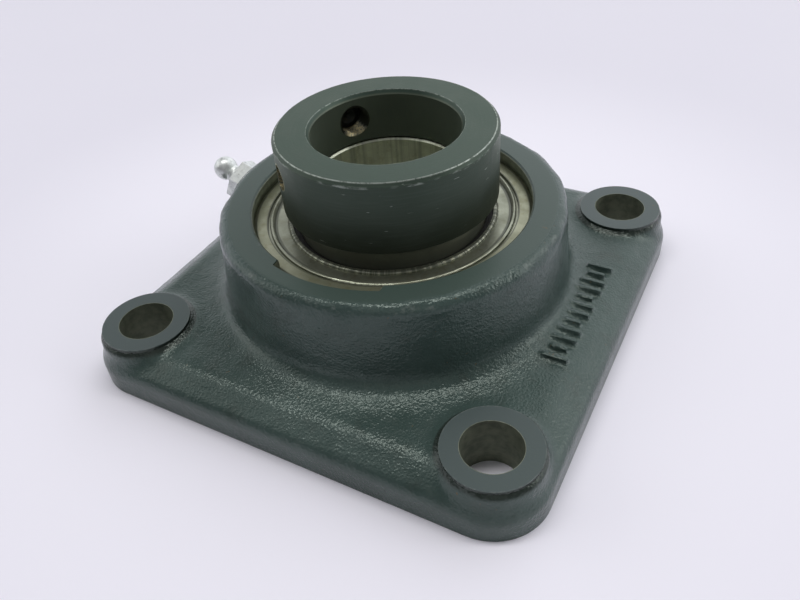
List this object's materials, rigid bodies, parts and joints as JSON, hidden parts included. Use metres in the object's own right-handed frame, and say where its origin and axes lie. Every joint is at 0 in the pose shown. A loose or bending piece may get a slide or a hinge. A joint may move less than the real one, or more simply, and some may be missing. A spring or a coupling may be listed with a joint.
{
  "type": "flange mount bearing",
  "caption": "Square cast flange housing with a self-aligning ball bearing insert, an eccentric locking collar for the shaft and a grease fitting on the drum.",
  "frame": {"origin": "on the shaft's axis, in the plane of the mounting face, at the centre of the bolt pattern", "axes": "+Z along the shaft axis, away from the mounting face and towards the locking collar; X and Y along the flange's sides, with the grease fitting on the -X side and the loading slots 3.5 degrees past +Y and -Y"},
  "size_m": [0.118, 0.118, 0.0527],
  "materials": {
    "housing_casting": "sand-cast iron under dark grey-green paint, semi-gloss",
    "black_oxide": "black-oxide turned steel",
    "ground_steel": "ground and hardened bearing steel",
    "pressed_steel": "pressed sheet steel",
    "bright_steel": "polished ball steel",
    "nitrile": "moulded nitrile rubber",
    "zinc_plate": "bright zinc-plated steel",
    "spring_steel": "drawn spring wire"
  },
  "bodies": {
    "housing": {"housing": "housing_casting", "grease_fitting_body": "zinc_plate", "check_spring": "spring_steel"},
    "bearing_insert": {"outer_ring": "ground_steel", "front_seal_cover": "pressed_steel", "front_seal_lip": "nitrile", "front_seal_backing": "pressed_steel", "rear_seal_cover": "pressed_steel", "rear_seal_lip": "nitrile", "rear_seal_backing": "pressed_steel"},
    "shaft_ring": {"inner_ring": "ground_steel"},
    "ball_cage": {"cage_front_half": "pressed_steel", "cage_rear_half": "pressed_steel", "cage_rivets": "pressed_steel"},
    "collar": {"locking_collar": "black_oxide"},
    "collar_screw": {"set_screw": "black_oxide"},
    "grease_valve": {"check_ball": "bright_steel"},
    "rolling_ball_1": {"ball_1": "bright_steel"},
    "rolling_ball_2": {"ball_2": "bright_steel"},
    "rolling_ball_3": {"ball_3": "bright_steel"},
    "rolling_ball_4": {"ball_4": "bright_steel"},
    "rolling_ball_5": {"ball_5": "bright_steel"},
    "rolling_ball_6": {"ball_6": "bright_steel"},
    "rolling_ball_7": {"ball_7": "bright_steel"},
    "rolling_ball_8": {"ball_8": "bright_steel"},
    "rolling_ball_9": {"ball_9": "bright_steel"}
  },
  "joints": [
    {"name": "insert_swivel", "type": "hinge", "parent": "housing", "child": "bearing_insert", "pos_m": [0, 0, 0.02], "axis": [1, 0, 0], "range_deg": [-3, 3]},
    {"name": "shaft_spin", "type": "hinge", "parent": "bearing_insert", "child": "shaft_ring", "pos_m": [0, 0, 0.02], "axis": [0, 0, 1], "continuous": true},
    {"name": "cage_spin", "type": "hinge", "parent": "bearing_insert", "child": "ball_cage", "pos_m": [0, 0, 0.02], "axis": [0, 0, 1], "continuous": true},
    {"name": "collar_lock", "type": "hinge", "parent": "shaft_ring", "child": "collar", "pos_m": [0.0009, 0, 0.038], "axis": [0, 0, 1], "range_deg": [-6.3, 6.3]},
    {"name": "set_screw_travel", "type": "slide", "parent": "collar", "child": "collar_screw", "axis": [0.8387, -0.5446, 0], "range_m": [-0.003, 0.0034]},
    {"name": "grease_valve_travel", "type": "slide", "parent": "housing", "child": "grease_valve", "axis": [0.9063, 0, -0.4226], "range_m": [0, 0.0012], "stiffness_N_per_m": 40, "deforming": ["check_spring"]},
    {"name": "ball_1_roll", "type": "hinge", "parent": "ball_cage", "child": "rolling_ball_1", "pos_m": [0.0268, 0, 0.02], "axis": [0, 0, 1], "continuous": true},
    {"name": "ball_2_roll", "type": "hinge", "parent": "ball_cage", "child": "rolling_ball_2", "pos_m": [0.02053, 0.01723, 0.02], "axis": [0, 0, 1], "continuous": true},
    {"name": "ball_3_roll", "type": "hinge", "parent": "ball_cage", "child": "rolling_ball_3", "pos_m": [0.00465, 0.02639, 0.02], "axis": [0, 0, 1], "continuous": true},
    {"name": "ball_4_roll", "type": "hinge", "parent": "ball_cage", "child": "rolling_ball_4", "pos_m": [-0.0134, 0.02321, 0.02], "axis": [0, 0, 1], "continuous": true},
    {"name": "ball_5_roll", "type": "hinge", "parent": "ball_cage", "child": "rolling_ball_5", "pos_m": [-0.02518, 0.00917, 0.02], "axis": [0, 0, 1], "continuous": true},
    {"name": "ball_6_roll", "type": "hinge", "parent": "ball_cage", "child": "rolling_ball_6", "pos_m": [-0.02518, -0.00917, 0.02], "axis": [0, 0, 1], "continuous": true},
    {"name": "ball_7_roll", "type": "hinge", "parent": "ball_cage", "child": "rolling_ball_7", "pos_m": [-0.0134, -0.02321, 0.02], "axis": [0, 0, 1], "continuous": true},
    {"name": "ball_8_roll", "type": "hinge", "parent": "ball_cage", "child": "rolling_ball_8", "pos_m": [0.00465, -0.02639, 0.02], "axis": [0, 0, 1], "continuous": true},
    {"name": "ball_9_roll", "type": "hinge", "parent": "ball_cage", "child": "rolling_ball_9", "pos_m": [0.02053, -0.01723, 0.02], "axis": [0, 0, 1], "continuous": true}
  ],
  "couplings": [
    {"joint": "cage_spin", "follows": "shaft_spin", "ratio": 0.39634},
    {"joint": "ball_1_roll", "follows": "shaft_spin", "ratio": -2.3081},
    {"joint": "ball_2_roll", "follows": "shaft_spin", "ratio": -2.3081},
    {"joint": "ball_3_roll", "follows": "shaft_spin", "ratio": -2.3081},
    {"joint": "ball_4_roll", "follows": "shaft_spin", "ratio": -2.3081},
    {"joint": "ball_5_roll", "follows": "shaft_spin", "ratio": -2.3081},
    {"joint": "ball_6_roll", "follows": "shaft_spin", "ratio": -2.3081},
    {"joint": "ball_7_roll", "follows": "shaft_spin", "ratio": -2.3081},
    {"joint": "ball_8_roll", "follows": "shaft_spin", "ratio": -2.3081},
    {"joint": "ball_9_roll", "follows": "shaft_spin", "ratio": -2.3081}
  ]
}
